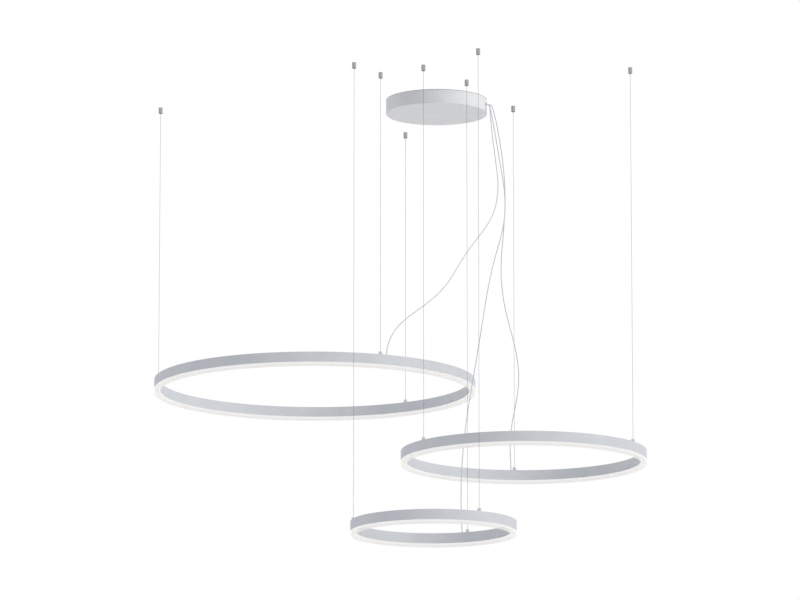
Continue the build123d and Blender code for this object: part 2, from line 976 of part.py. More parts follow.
def feed_cord(ring):
    """The cord's tube along straight runs joined by tangent arcs."""
    points = cord_points(ring)
    radii = cord_radii(points)
    path = FilletPolyline(*points, radius=radii)
    tube = sweep(Plane(path @ 0, z_dir=path % 0) * Circle(cord_diameter / 2), path)
    section = pi * (cord_diameter / 2) ** 2
    print(f"{ring.name} cord: {path.length:.1f} mm long, volume over section times length", end=" ")
    print(f"{tube.volume / section / path.length:.5f}, radii", " ".join(f"{r:.0f}" for r in radii))
    return tube


# ---- write one file for each sub-part ----
def save(name, shapes):
    """Writes one sub-part; a group of separate solids becomes one compound."""
    solids = []
    for shape in shapes if isinstance(shapes, list) else [shapes]:
        solids += shape.solids()
    part = solids[0] if len(solids) == 1 else Compound(children=solids)
    part.label = name
    export_step(part, f"parts/{name}.step")


os.makedirs("parts", exist_ok=True)

save("ceiling_plate", ceiling_plate())
save("canopy_cover", canopy_cover())
save("cover_clips", [Rot(0, 0, a) * cover_clip() for a in clip_angles()])
save("outlet_grommet", outlet_grommet())
save("cord_clamp", clamp_half((-outlet_depth, -plate_thickness)))
save("clamp_cap", clamp_half((-outlet_depth - clamp_half_height, -outlet_depth)))
save("mains_terminal", mains_terminal())
save("supply_leads", supply_leads())
save("earth_stud", earth_stud())
save("plate_screws", plate_screws())

all_wire_spots = [ring.spot(angle) for ring in rings for angle in ring.wire_angles]
for node, shape in (
    ("anchor_bases", anchor_base()),
    ("gripper_cups", gripper_cup()),
    ("gripper_barrels", gripper_barrel()),
    ("gripper_springs", gripper_spring()),
):
    save(node, [Pos(x, y, 0) * shape for x, y in all_wire_spots])

for ring in rings:
    save(f"{ring.name}_driver", driver(ring.name))
    save(f"{ring.name}_channel", ring.placed(channel(ring)))
    save(f"{ring.name}_diffuser", ring.placed(diffuser(ring)))
    save(f"{ring.name}_led_tray", ring.placed(led_tray(ring)))
    save(f"{ring.name}_led_board", ring.placed(led_board(ring)))
    save(f"{ring.name}_tray_screws", [ring.placed(screw) for screw in tray_screws(ring)])
    save(f"{ring.name}_holder_bases", at_wires(ring, holder_base()))
    save(f"{ring.name}_holder_caps", at_wires(ring, holder_cap()))
    save(f"{ring.name}_holder_nuts", at_wires(ring, holder_nut()))
    save(f"{ring.name}_wires", at_wires(ring, wire(ring)))
    feed_spot = Rot(0, 0, ring.feed_angle) * Pos(ring.middle, 0, 0)
    save(f"{ring.name}_cord_grommet", ring.placed(feed_spot * ring_grommet()))
    save(f"{ring.name}_feed_cord", feed_cord(ring))
    for k, angle in enumerate(ring.wire_angles):
        x, y = ring.spot(angle)
        nose = [Pos(x, y, 0) * shape for shape in [release_nose()] + clamping_balls()]
        save(f"{ring.name}_release_{k + 1}", nose)
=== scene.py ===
from math import cos, pi, radians, sin, tau

import bmesh
import bpy
import numpy as np
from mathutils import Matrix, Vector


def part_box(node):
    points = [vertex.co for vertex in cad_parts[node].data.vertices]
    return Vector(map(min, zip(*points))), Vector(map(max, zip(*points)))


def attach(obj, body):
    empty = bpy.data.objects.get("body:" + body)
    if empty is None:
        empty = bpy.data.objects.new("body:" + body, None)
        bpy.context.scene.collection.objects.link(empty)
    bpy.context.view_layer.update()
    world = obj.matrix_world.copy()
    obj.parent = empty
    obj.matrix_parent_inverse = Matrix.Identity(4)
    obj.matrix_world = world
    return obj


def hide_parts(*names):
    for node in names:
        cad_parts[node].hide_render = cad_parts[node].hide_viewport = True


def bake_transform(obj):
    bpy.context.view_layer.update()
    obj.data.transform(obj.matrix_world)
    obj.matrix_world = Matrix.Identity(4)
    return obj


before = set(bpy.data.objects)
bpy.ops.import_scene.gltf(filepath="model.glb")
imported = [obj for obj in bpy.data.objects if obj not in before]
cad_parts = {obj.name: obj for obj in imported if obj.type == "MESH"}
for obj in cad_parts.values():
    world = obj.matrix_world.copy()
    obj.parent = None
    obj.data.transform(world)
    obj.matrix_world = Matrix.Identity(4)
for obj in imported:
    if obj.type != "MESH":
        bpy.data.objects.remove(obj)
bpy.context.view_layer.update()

# LED ring chandelier: the finishes, and smooth surfaces in place of the solids' facets.
# Metres, in the part's own frame: the ceiling is at z = 0 and the photograph looks along +Y.
MM = 0.001
# Points nearer than this are one point, in metres; a face this near a surface lies on it, in millimetres.
SAME_POINT = 0.001 * MM
NEAR = 0.01

# ---- camera: the photograph's place, seen slightly from below ----
CAMERA_PLACE = (-0.1376, -21.4015, -4.8977)
CAMERA_PITCH = 10.927
CAMERA_LENS = 262.65
CAMERA_SENSOR = 36.0
CAMERA_CLIP = (0.5, 200.0)


def make_camera():
    """The photograph's camera: far away and long, so that the rings are seen almost without perspective."""
    data = bpy.data.cameras.new("photo_camera")
    data.lens = CAMERA_LENS
    data.sensor_width = CAMERA_SENSOR
    data.clip_start, data.clip_end = CAMERA_CLIP
    camera = bpy.data.objects.new("photo_camera", data)
    camera.location = CAMERA_PLACE
    camera.rotation_euler = (radians(90 + CAMERA_PITCH), 0, 0)
    bpy.context.collection.objects.link(camera)
    bpy.context.scene.camera = camera


make_camera()

# ---- sizes that the pieces share with the solids, in millimetres ----
CORD_DIAMETER = 3.5
CORD_SPACING = 4.6
OUTLET_ANGLE = -14.0
OUTLET_DEPTH = 27.0
STRAIGHT_START = 167.0
STRAIGHT_END = 197.0
LAST_BEND_HEIGHT = 14.0
BOARD_LEVEL = 33.5
FEED_WIRES = {"large": 1, "medium": 2, "small": 2}
FEED_STEPS = {"large": 24.0, "medium": 13.0, "small": 22.0}
PROFILE_WIDTH = 22.0


def middle_of(node):
    """The middle of a node's box as seen from above, in metres."""
    low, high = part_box(node)
    return ((low[0] + high[0]) / 2, (low[1] + high[1]) / 2)


class Ring:
    """One ring as the solids have it: its centre, radii and top in metres, and where its wires stand."""

    def __init__(self, name):
        low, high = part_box(f"{name}_channel")
        self.name = name
        self.body = f"{name}_ring"
        self.outer = (high[0] - low[0]) / 2
        self.middle = self.outer - PROFILE_WIDTH * MM / 2
        self.centre = middle_of(f"{name}_channel")
        self.top = high[2]
        self.wires = [middle_of(f"{name}_release_{k}") for k in (1, 2, 3)]

    def feed(self):
        """Where the feed cord enters: a short way round the ring from one of its wires."""
        x, y = self.wires[FEED_WIRES[self.name]]
        angle = np.arctan2(y - self.centre[1], x - self.centre[0]) + FEED_STEPS[self.name] * MM / self.middle
        return (self.centre[0] + self.middle * cos(angle), self.centre[1] + self.middle * sin(angle))


RINGS = [Ring(name) for name in ("large", "medium", "small")]


# ---- feed cords: the routes, listed in millimetres, as the solids have them ----
def outlet_point(radius, offset):
    """A point on a cord's straight way out of the canopy, at a radius, beside the outlet's axis."""
    a = radians(OUTLET_ANGLE)
    return (radius * cos(a) - offset * sin(a), radius * sin(a) + offset * cos(a), -OUTLET_DEPTH)


ROUTES = {
    "large": [
        (60, -56, -27), (78, -56, -27), (106, -48, -27), (133, -37.5, -27),
        outlet_point(STRAIGHT_START, -CORD_SPACING), outlet_point(STRAIGHT_END, -CORD_SPACING),
        (199.5, -56.5, -38), (200, -61.5, -59), (202, -70.5, -92), (206.5, -82, -142),
        (212, -94, -196), (218.5, -107, -250), (225, -122, -304), (228, -140, -357),
        (225, -159, -409), (215, -179, -459), (196.5, -200, -505), (170.5, -222, -549),
        (141, -245, -591), (112.5, -268.5, -634), (87, -291, -678), (64, -313, -722),
        (40, -335, -765), (9, -356, -806), (-28, -376, -843), (-70, -394, -878),
        (-113, -409, -912), (-151, -422, -951), (-177, -434, -998),
    ],
    "medium": [
        (60, 52, -27), (80, 52, -27), (110, 39, -27), (128, 9, -27), (142, -21, -27),
        outlet_point(STRAIGHT_START, CORD_SPACING), outlet_point(STRAIGHT_END, CORD_SPACING),
        (205, -44.5, -30.5), (211.5, -45.5, -46), (219.5, -44.5, -76), (229.5, -40.5, -126),
        (239, -34.5, -181), (246.5, -27.5, -236), (252.5, -19.5, -291), (256, -10.5, -347),
        (256.5, -1, -402), (254, 8.5, -457), (249.5, 17.5, -512), (244.5, 26.5, -567),
        (241, 35.5, -622), (241.5, 44, -677), (246.5, 51.5, -732), (256, 58, -787),
        (269, 64, -841), (283.5, 69.5, -894), (296.5, 74, -947), (305.5, 78, -1003),
        (307, 81.5, -1060), (301, 85, -1116), (290, 88, -1171), (279.5, 92, -1226),
        (273.5, 96, -1282), (274, 100, -1334),
    ],
    "small": [
        (60, 0, -27), (80, 0, -27), (106, -9, -27), (134, -26, -27),
        outlet_point(STRAIGHT_START, 0), outlet_point(STRAIGHT_END, 0),
        (199.5, -50, -32.5), (202.5, -53, -51), (208.5, -57, -84), (217, -62.5, -134),
        (225.5, -70.5, -188), (233.5, -78, -242), (242, -85, -295), (250, -92.5, -348),
        (254.5, -100.5, -402), (254, -108.5, -456), (247.5, -117, -510), (235, -126, -563),
        (220, -135, -616), (206.5, -144.5, -669), (195, -154.5, -722), (185, -165, -775),
        (176.5, -176, -829), (168, -187, -882), (160, -198.5, -935), (151.5, -210.5, -988),
        (143, -222, -1040), (134.5, -234, -1093), (125.5, -246, -1146), (117, -257.5, -1199),
        (109, -268.5, -1252), (102, -279, -1306), (96, -289, -1360), (91.5, -298.5, -1414),
        (88, -307, -1469), (86, -314, -1524), (85.5, -319, -1579), (87, -322.5, -1632),
    ],
}


def route_points(ring):
    """The whole route in metres, with the last two points over and inside the ring."""
    points = [tuple(value * MM for value in point) for point in ROUTES[ring.name]]
    x, y = ring.feed()
    points.append((x, y, ring.top + LAST_BEND_HEIGHT * MM))
    points.append((x, y, ring.top - BOARD_LEVEL * MM))
    return points


def smooth_line(name, points, resolution):
    """Points along the NURBS spline that has the route's points as its control points."""
    curve = bpy.data.curves.new(name, "CURVE")
    curve.dimensions = "3D"
    curve.resolution_u = resolution
    spline = curve.splines.new("NURBS")
    spline.points.add(len(points) - 1)
    for slot, point in zip(spline.points, points):
        slot.co = (*point, 1.0)
    spline.order_u = 3
    spline.use_endpoint_u = True
    holder = bpy.data.objects.new(name, curve)
    bpy.context.collection.objects.link(holder)
    line = bpy.data.meshes.new_from_object(holder.evaluated_get(bpy.context.evaluated_depsgraph_get()))
    path = np.empty(len(line.vertices) * 3)
    line.vertices.foreach_get("co", path)
    bpy.data.objects.remove(holder)
    bpy.data.meshes.remove(line)
    path = path.reshape(-1, 3)
    keep = np.ones(len(path), bool)
    keep[1:] = np.linalg.norm(np.diff(path, axis=0), axis=1) > SAME_POINT
    return path[keep]


# ---- meshes ----
SHARP_ANGLE = 35.0
ARC_STEPS = 5
BALL_STEPS = 12
BALL_SEGMENTS = 24
# Which side of a path its tube's first corner is on: a direction that no path here starts along.
FIRST_SIDE = (0.3, 0.9, 0.2)


def add_mesh(name, vertices, faces, material, sharp_angle=SHARP_ANGLE):
    """An object at the origin with its place in its mesh, doubles merged, smooth but for its sharp edges."""
    mesh = bpy.data.meshes.new(name)
    mesh.from_pydata(np.asarray(vertices).tolist(), [], [list(face) for face in faces])
    shape = bmesh.new()
    shape.from_mesh(mesh)
    bmesh.ops.remove_doubles(shape, verts=shape.verts, dist=SAME_POINT)
    shape.to_mesh(mesh)
    shape.free()
    mesh.shade_smooth()
    mesh.set_sharp_from_angle(angle=radians(sharp_angle))
    mesh.materials.append(material)
    piece = bpy.data.objects.new(name, mesh)
    bpy.context.collection.objects.link(piece)
    return piece


def polygon_middles(piece):
    """The middles of the piece's faces as an array."""
    middles = np.empty(len(piece.data.polygons) * 3)
    piece.data.polygons.foreach_get("center", middles)
    return middles.reshape(-1, 3)


def second_finish(piece, material, chosen):
    """Gives the chosen faces of the piece, as a mask, a finish of their own."""
    piece.data.materials.append(material)
    piece.data.polygons.foreach_set("material_index", chosen.astype(np.int32))


def dress(piece, body, slot, *nodes):
    """Puts the piece on its body and hides the nodes that it stands for; slot, the finish that it takes, is
    not used.
    """
    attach(piece, body)
    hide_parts(*nodes)


def grid_faces(rows, columns, wrap_rows=False, wrap_columns=False):
    """Quads over a grid of rows by columns of points, joined end to start where it wraps."""
    r = np.arange(rows if wrap_rows else rows - 1)
    c = np.arange(columns if wrap_columns else columns - 1)
    r, c = np.meshgrid(r, c, indexing="ij")
    right, down = (c + 1) % columns, (r + 1) % rows
    corners = [r * columns + c, r * columns + right, down * columns + right, down * columns + c]
    return np.stack(corners, -1).reshape(-1, 4)


def rounded(outline, radii):
    """A closed outline with the numbered corners turned into arcs.

    Each arc is tangent to both edges: its centre is on the corner's bisector, radius / sin(half angle) away.
    """
    points = np.array(outline, float)
    result = []
    for k, corner in enumerate(points):
        radius = radii.get(k, 0.0)
        if radius == 0.0:
            result.append(corner)
            continue
        before = points[k - 1] - corner
        after = points[(k + 1) % len(points)] - corner
        before /= np.linalg.norm(before)
        after /= np.linalg.norm(after)
        half = np.arccos(np.clip(before @ after, -1, 1)) / 2
        bisector = (before + after) / np.linalg.norm(before + after)
        centre = corner + bisector * radius / np.sin(half)
        start = corner + before * radius / np.tan(half) - centre
        end = corner + after * radius / np.tan(half) - centre
        sweep = np.arctan2(start[0] * end[1] - start[1] * end[0], start @ end)
        turn = sweep * np.linspace(0, 1, ARC_STEPS + 1)[:, None]
        across = np.array([-start[1], start[0]])
        result.extend(centre + np.cos(turn) * start + np.sin(turn) * across)
    return np.array(result)


def turned(outline, centre, height, segments):
    """A closed surface of revolution from an outline of (r, level), in millimetres.

    x, y = centre + r (cos a, sin a) and z = height + level. The outline is taken against the clock, which
    makes the faces look outwards, and no face lies along the axis.
    """
    outline = np.asarray(outline, float)
    ahead = np.roll(outline, -1, axis=0)
    if np.sum(outline[:, 0] * ahead[:, 1] - ahead[:, 0] * outline[:, 1]) < 0:
        outline = outline[::-1]
    a = np.arange(segments) * tau / segments
    r, z = outline[:, 0] * MM, outline[:, 1] * MM
    x = centre[0] + np.outer(np.cos(a), r)
    y = centre[1] + np.outer(np.sin(a), r)
    vertices = np.stack([x, y, np.broadcast_to(height + z, x.shape)], -1).reshape(-1, 3)
    faces = grid_faces(segments, len(outline), True, True)
    on_axis = r[faces % len(outline)].max(axis=1) < SAME_POINT
    return vertices, faces[~on_axis][:, ::-1]


def ball_outline(radius, level=0.0):
    """Half a circle round (0, level), from its lowest point to its highest: the outline of a ball."""
    arc = np.linspace(-pi / 2, pi / 2, BALL_STEPS + 1)
    return np.stack([radius * np.cos(arc), radius * np.sin(arc) + level], -1)


def joined(parts):
    """Several (vertices, faces) as one."""
    vertices, faces, count = [], [], 0
    for part_vertices, part_faces in parts:
        vertices.append(part_vertices)
        faces += (np.asarray(part_faces) + count).tolist()
        count += len(part_vertices)
    return np.concatenate(vertices), faces


def tube(path, radius, sides, turns_per_metre=0.0, lobes=0, lobe_depth=0.0):
    """A tube along a path: at each point a circle across the path's direction, carried along without twist.

    With lobes its section is r (1 + depth cos(lobes a)), which turns about the path as it goes, as strands
    do. Each end closes on the path's own end point, as a fan whose last corner is that point twice.
    """
    ahead = np.gradient(path, axis=0)
    ahead /= np.linalg.norm(ahead, axis=1)[:, None]
    side = np.cross(ahead[0], FIRST_SIDE)
    carried = []
    for direction in ahead:
        side = side - direction * (side @ direction)
        side /= np.linalg.norm(side)
        carried.append(side)
    across = np.array(carried)
    up = np.cross(ahead, across)
    travel = np.concatenate([[0], np.cumsum(np.linalg.norm(np.diff(path, axis=0), axis=1))])
    a = np.arange(sides) * tau / sides
    section = radius * (1 + lobe_depth * np.cos(lobes * a))
    turn = a[None, :] + tau * turns_per_metre * travel[:, None]
    offset = np.cos(turn)[..., None] * across[:, None] + np.sin(turn)[..., None] * up[:, None]
    walls = path[:, None] + section[None, :, None] * offset
    ends = [np.repeat(path[k][None, None], sides, axis=1) for k in (0, -1)]
    vertices = np.concatenate([ends[0], walls, ends[1]]).reshape(-1, 3)
    return vertices, grid_faces(len(path) + 2, sides, False, True)


# ---- materials ----
def linear(code):
    """An sRGB hex colour as linear red, green, blue and alpha."""
    values = [int(code[k : k + 2], 16) / 255 for k in (1, 3, 5)]
    return [*(v / 12.92 if v <= 0.04045 else ((v + 0.055) / 1.055) ** 2.4 for v in values), 1.0]


def add_node(tree, kind, inputs=None, stops=(), **settings):
    """A node with its settings, its values or links by input name, and a ramp's (position, colour) stops."""
    node = tree.nodes.new(kind)
    for key, value in settings.items():
        setattr(node, key, value)
    for key, value in (inputs or {}).items():
        if isinstance(value, bpy.types.NodeSocket):
            tree.links.new(value, node.inputs[key])
        else:
            node.inputs[key].default_value = value
    for k, (position, code) in enumerate(stops):
        stop = node.color_ramp.elements[k] if k < 2 else node.color_ramp.elements.new(position)
        stop.position = position
        stop.color = linear(code)
    return node


def new_tree(name):
    """A new material and its empty node tree."""
    material = bpy.data.materials.new(name)
    material.use_nodes = True
    material.node_tree.nodes.clear()
    return material, material.node_tree


def grain_sockets(tree, place, grain_mm, relief_mm, roughness, detail):
    """What a fine grain gives the shader: a roughness between (least, most), and a relief of that height."""
    values = {"Vector": place, "Scale": 1 / (grain_mm * MM), "Detail": detail}
    grain = add_node(tree, "ShaderNodeTexNoise", values).outputs["Fac"]
    span = {"Value": grain, "To Min": roughness[0], "To Max": roughness[1]}
    shine = add_node(tree, "ShaderNodeMapRange", span)
    relief = add_node(tree, "ShaderNodeBump", {"Height": grain, "Distance": relief_mm * MM})
    return {"Roughness": shine.outputs["Result"], "Normal": relief.outputs["Normal"]}


# Where the clouds of a finish change from its first tone to its second, and how fine its grain breaks up.
CLOUD_SPAN = (0.35, 0.65)
GRAIN_DETAIL = 3.0


def finish(name, tones, cloud_mm, grain_mm, relief_mm, roughness, **values):
    """A finish: its tone drifts in clouds between two colours, and its fine grain shows in shine and relief.

    The sizes are the clouds' width, the grain's width and the grain's height. Roughness is (least, most), and
    the values go on the shader's own sockets.
    """
    material, tree = new_tree(name)
    place = add_node(tree, "ShaderNodeTexCoord").outputs["Object"]
    cloud = add_node(tree, "ShaderNodeTexNoise", {"Vector": place, "Scale": 1 / (cloud_mm * MM)})
    tone = add_node(tree, "ShaderNodeValToRGB", {"Fac": cloud.outputs["Fac"]}, zip(CLOUD_SPAN, tones))
    sockets = {"Base Color": tone.outputs["Color"]}
    sockets.update(grain_sockets(tree, place, grain_mm, relief_mm, roughness, GRAIN_DETAIL))
    sockets.update({key.replace("_", " "): value for key, value in values.items()})
    shader = add_node(tree, "ShaderNodeBsdfPrincipled", sockets)
    add_node(tree, "ShaderNodeOutputMaterial", {"Surface": shader.outputs["BSDF"]})
    return material


# The colour of the painted LED light, and how strongly the mouth and the boards glow with it: emission
# painted on them stands in for the LEDs' light, as no lamp shines inside the rings.
LED_LIGHT = "#fffefb"
PAINTED_MOUTH_GLOW = 0.79
PAINTED_BOARD_GLOW = 0.15


def painted_glow_values(strength):
    """The socket values of a painted glow: emission that stands in for the LEDs' light on a surface."""
    return {"Emission_Color": linear(LED_LIGHT), "Emission_Strength": strength}


# The diffuser's own tone, its cover over what is behind it, and its painted glow, which stands in for the
# LEDs' light: brighter at the mouth, darker at the bottom.
OPAL_BODY = "#565554"
OPAL_COVER = 0.33
PAINTED_OPAL_GLOW = 0.86
PAINTED_OPAL_GLOW_TONES = ("#f6f5f3", "#d8d7d4")
OPAL_GRAIN = 0.7
OPAL_RELIEF = 0.006
OPAL_GRAIN_DETAIL = 2.0
OPAL_ROUGHNESS = (0.36, 0.44)
OPAL_IOR = 1.58
OPAL_SPECULAR = 0.15


def opal_finish(name):
    """Satin opal plastic with a painted glow in place of the LEDs' light: brighter near the mouth and darker
    towards the bottom, and the mouth's painted glow shows through.
    """
    material, tree = new_tree(name)
    place = add_node(tree, "ShaderNodeTexCoord").outputs["Object"]
    # Painted light: the glow's tone runs from bright at the mouth to darker at the bottom.
    depth = add_node(tree, "ShaderNodeAttribute", attribute_name="below_mouth")
    stops = zip((0.0, 1.0), PAINTED_OPAL_GLOW_TONES)
    glow = add_node(tree, "ShaderNodeValToRGB", {"Fac": depth.outputs["Fac"]}, stops)
    sockets = {
        "Base Color": linear(OPAL_BODY),
        "IOR": OPAL_IOR,
        "Specular IOR Level": OPAL_SPECULAR,
        "Alpha": OPAL_COVER,
        "Emission Color": glow.outputs["Color"],
        "Emission Strength": PAINTED_OPAL_GLOW,
    }
    sockets.update(grain_sockets(tree, place, OPAL_GRAIN, OPAL_RELIEF, OPAL_ROUGHNESS, OPAL_GRAIN_DETAIL))
    shader = add_node(tree, "ShaderNodeBsdfPrincipled", sockets)
    add_node(tree, "ShaderNodeOutputMaterial", {"Surface": shader.outputs["BSDF"]})
    return material


# Silver coat with aluminium flake on the rings: satin, half of its shine from the flake, a fine orange peel.
SILVER = finish(
    "flake_silver_coat", ("#c6c8cc", "#cacccf"),
    cloud_mm=60.0, grain_mm=1.2, relief_mm=0.01, roughness=(0.42, 0.52), Metallic=0.5,
)
# Silver-grey polyester powder coat on the canopy: matt and even, with a fine orange peel.
POWDER = finish(
    "pale_grey_powder_coat", ("#d0d0d1", "#d3d3d3"),
    cloud_mm=60.0, grain_mm=1.2, relief_mm=0.012, roughness=(0.5, 0.6), IOR=1.5,
)
# Painted light on the channel's mouth and the tray: a dark grey base under an emission that stands in for the
# LEDs' light, so that they look white and bright.
PAINTED_LED_GLOW = finish(
    "lit_white_reflector", ("#484846", "#4e4e4c"),
    cloud_mm=30.0, grain_mm=0.8, relief_mm=0.005, roughness=(0.45, 0.55), **painted_glow_values(PAINTED_MOUTH_GLOW),
)
# White solder resist on the boards: warm white with a satin grain, and a painted glow that stands in for the
# light of its own LEDs.
BOARD = finish(
    "white_solder_resist", ("#e4e3dc", "#ecebe5"),
    cloud_mm=12.0, grain_mm=0.4, relief_mm=0.006, roughness=(0.36, 0.44), **painted_glow_values(PAINTED_BOARD_GLOW),
)
# Polished chrome plate: a grey mirror, with faint polishing haze.
CHROME = finish(
    "bright_chrome_plate", ("#a6a7ab", "#aeafb2"),
    cloud_mm=4.0, grain_mm=0.6, relief_mm=0.002, roughness=(0.12, 0.2), Metallic=1.0,
)
# Brushed chrome plate on the holders: paler than the cups, with a broad soft shine.
SATIN_CHROME = finish(
    "satin_chrome_plate", ("#cdced1", "#d4d5d8"),
    cloud_mm=4.0, grain_mm=0.6, relief_mm=0.004, roughness=(0.3, 0.4), Metallic=1.0,
)
# Painted shade, a dark steel-like finish: on the flat rings under the cups, round the bright noses, and on
# the cover's top lip, which draws a thin painted shadow line on top in place of the shadow gap under the
# ceiling.
PAINTED_SHADE_FINISH = finish(
    "blackened_steel", ("#34363b", "#3f4146"),
    cloud_mm=3.0, grain_mm=0.8, relief_mm=0.01, roughness=(0.38, 0.46), Metallic=0.6,
)
# Drawn stainless strands: mid-grey, with a soft shine along the lay.
STRAND = finish(
    "stainless_strand", ("#6c6d6f", "#7c7e80"),
    cloud_mm=8.0, grain_mm=0.5, relief_mm=0.006, roughness=(0.29, 0.4), Metallic=1.0,
)
# Zinc plate: pale, a little cloudy.
ZINC = finish(
    "zinc_plated_steel", ("#a9acb0", "#b7babd"),
    cloud_mm=6.0, grain_mm=1.5, relief_mm=0.008, roughness=(0.35, 0.46), Metallic=1.0,
)
# Hardened strip and wire: darker and smoother than the plate.
SPRING = finish(
    "bright_spring_steel", ("#77797d", "#85878a"),
    cloud_mm=6.0, grain_mm=0.5, relief_mm=0.004, roughness=(0.25, 0.36), Metallic=1.0,
)
# Turned brass: yellow, with the lathe's fine grain.
BRASS = finish(
    "turned_brass", ("#b89a5a", "#c3a666"),
    cloud_mm=5.0, grain_mm=0.4, relief_mm=0.005, roughness=(0.24, 0.34), Metallic=1.0,
)
# Spark-eroded white polycarbonate: even and satin.
WHITE = finish(
    "white_polycarbonate", ("#deddda", "#e6e5e2"),
    cloud_mm=25.0, grain_mm=0.8, relief_mm=0.01, roughness=(0.41, 0.49), IOR=1.58,
)
# Moulded rubber: light grey and matt.
RUBBER = finish(
    "grey_rubber", ("#b4b5b8", "#bcbdbf"),
    cloud_mm=10.0, grain_mm=0.8, relief_mm=0.01, roughness=(0.56, 0.66), IOR=1.5,
)
# Clear PVC over a tinned screen: pale grey with a soft gloss.
SHEATH = finish(
    "clear_grey_sheath", ("#babbbe", "#c6c7ca"),
    cloud_mm=12.0, grain_mm=0.9, relief_mm=0.006, roughness=(0.28, 0.36), IOR=1.53,
)
OPAL = opal_finish("opal_polycarbonate")

NODE_MATERIALS = {
    "ceiling_plate": ZINC,
    "cover_clips": SPRING,
    "cord_clamp": WHITE,
    "clamp_cap": WHITE,
    "mains_terminal": WHITE,
    "supply_leads": WHITE,
    "earth_stud": BRASS,
    "plate_screws": ZINC,
    "anchor_bases": ZINC,
    "gripper_barrels": BRASS,
    "large_driver": WHITE,
    "medium_driver": WHITE,
    "small_driver": WHITE,
}
RING_NODE_MATERIALS = {"led_tray": PAINTED_LED_GLOW, "led_board": BOARD, "tray_screws": ZINC, "holder_nuts": ZINC}
for ring in RINGS:
    NODE_MATERIALS.update({f"{ring.name}_{node}": look for node, look in RING_NODE_MATERIALS.items()})
for node_name, node_finish in NODE_MATERIALS.items():
    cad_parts[node_name].data.materials.clear()
    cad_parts[node_name].data.materials.append(node_finish)

# ---- ring profile: millimetres in from the ring's outside, and down from its top face ----
CHANNEL_HEIGHT = 37.5
CHANNEL_WALL = 1.5
CHANNEL_ROOF = 2.0
CHANNEL_EDGE = 0.6
LEDGE_LEVEL = 32.0
LEDGE_THICKNESS = 1.5
LEDGE_REACH = 5.0
RIB_LEVEL = 36.3
RIB_THICKNESS = 0.6
RIB_REACH = 0.5
DIFFUSER_DROP = 13.0
DIFFUSER_WALL = 1.5
DIFFUSER_FLOOR = 1.8
DIFFUSER_INSET = 0.2
DIFFUSER_EDGE = 1.2
MOUTH_GAP = 0.2
LEG_THICKNESS = 1.2
LEG_CLEARANCE = 0.15
BARB_HEIGHT = 1.1
BARB_OVERLAP = 0.25
RING_SEGMENTS = 360
# The hollow takes the painted LED glow from this level down.
PAINTED_GLOW_LEVEL = 2.5


def mirrored(half, outer):
    """A closed outline of (radius, level) from the outer half of a section whose inner half is the same."""
    right = [(outer - step, -depth) for step, depth in half]
    left = [(outer - PROFILE_WIDTH + step, -depth) for step, depth in reversed(half)]
    return right + left


def channel_outline(outer):
    """The aluminium channel: roof, walls, ledges and snap ribs, with its two top edges rounded."""
    rib_top = RIB_LEVEL - RIB_THICKNESS
    ledge_top = LEDGE_LEVEL - LEDGE_THICKNESS
    half = [
        (CHANNEL_WALL, CHANNEL_ROOF),
        (CHANNEL_WALL, ledge_top),
        (CHANNEL_WALL + LEDGE_REACH, ledge_top),
        (CHANNEL_WALL + LEDGE_REACH, LEDGE_LEVEL),
        (CHANNEL_WALL, LEDGE_LEVEL),
        (CHANNEL_WALL, rib_top),
        (CHANNEL_WALL + RIB_REACH, rib_top),
        (CHANNEL_WALL + RIB_REACH, RIB_LEVEL),
        (CHANNEL_WALL, RIB_LEVEL),
        (CHANNEL_WALL, CHANNEL_HEIGHT),
        (0, CHANNEL_HEIGHT),
        (0, 0),
    ]
    return rounded(mirrored(half, outer), {11: CHANNEL_EDGE, 12: CHANNEL_EDGE})


def diffuser_outline(outer):
    """The opal U with its legs and barbs, and its two lower edges rounded."""
    shoulder = CHANNEL_HEIGHT + MOUTH_GAP
    bottom = CHANNEL_HEIGHT + DIFFUSER_DROP
    wall = DIFFUSER_INSET + DIFFUSER_WALL
    leg = CHANNEL_WALL + RIB_REACH + LEG_CLEARANCE
    barb_bottom = RIB_LEVEL - RIB_THICKNESS - LEG_CLEARANCE
    half = [
        (DIFFUSER_INSET, bottom),
        (DIFFUSER_INSET, shoulder),
        (leg, shoulder),
        (leg, barb_bottom),
        (leg - LEG_CLEARANCE - BARB_OVERLAP, barb_bottom),
        (leg, barb_bottom - BARB_HEIGHT),
        (leg + LEG_THICKNESS, barb_bottom - BARB_HEIGHT),
        (leg + LEG_THICKNESS, shoulder + DIFFUSER_WALL),
        (wall, shoulder + DIFFUSER_WALL),
        (wall, bottom - DIFFUSER_FLOOR),
    ]
    return rounded(mirrored(half, outer), {0: DIFFUSER_EDGE, 2 * len(half) - 1: DIFFUSER_EDGE})


def make_channel(ring):
    """The channel as a surface of revolution about the ring's axis, with a painted glow on its hollow below
    the roof.
    """
    shape = turned(channel_outline(ring.outer / MM), ring.centre, ring.top, RING_SEGMENTS)
    piece = add_mesh(f"{ring.name}_channel_skin", *shape, SILVER)
    middles = polygon_middles(piece)
    out = np.hypot(middles[:, 0] - ring.centre[0], middles[:, 1] - ring.centre[1]) - ring.middle
    inside = np.abs(out) < (PROFILE_WIDTH / 2 - CHANNEL_WALL / 2) * MM
    low = middles[:, 2] < ring.top - PAINTED_GLOW_LEVEL * MM
    # Painted light: the hollow's faces below the roof glow in place of the LEDs' light falling on them.
    second_finish(piece, PAINTED_LED_GLOW, inside & low)
    dress(piece, ring.body, "painted_aluminium", f"{ring.name}_channel")


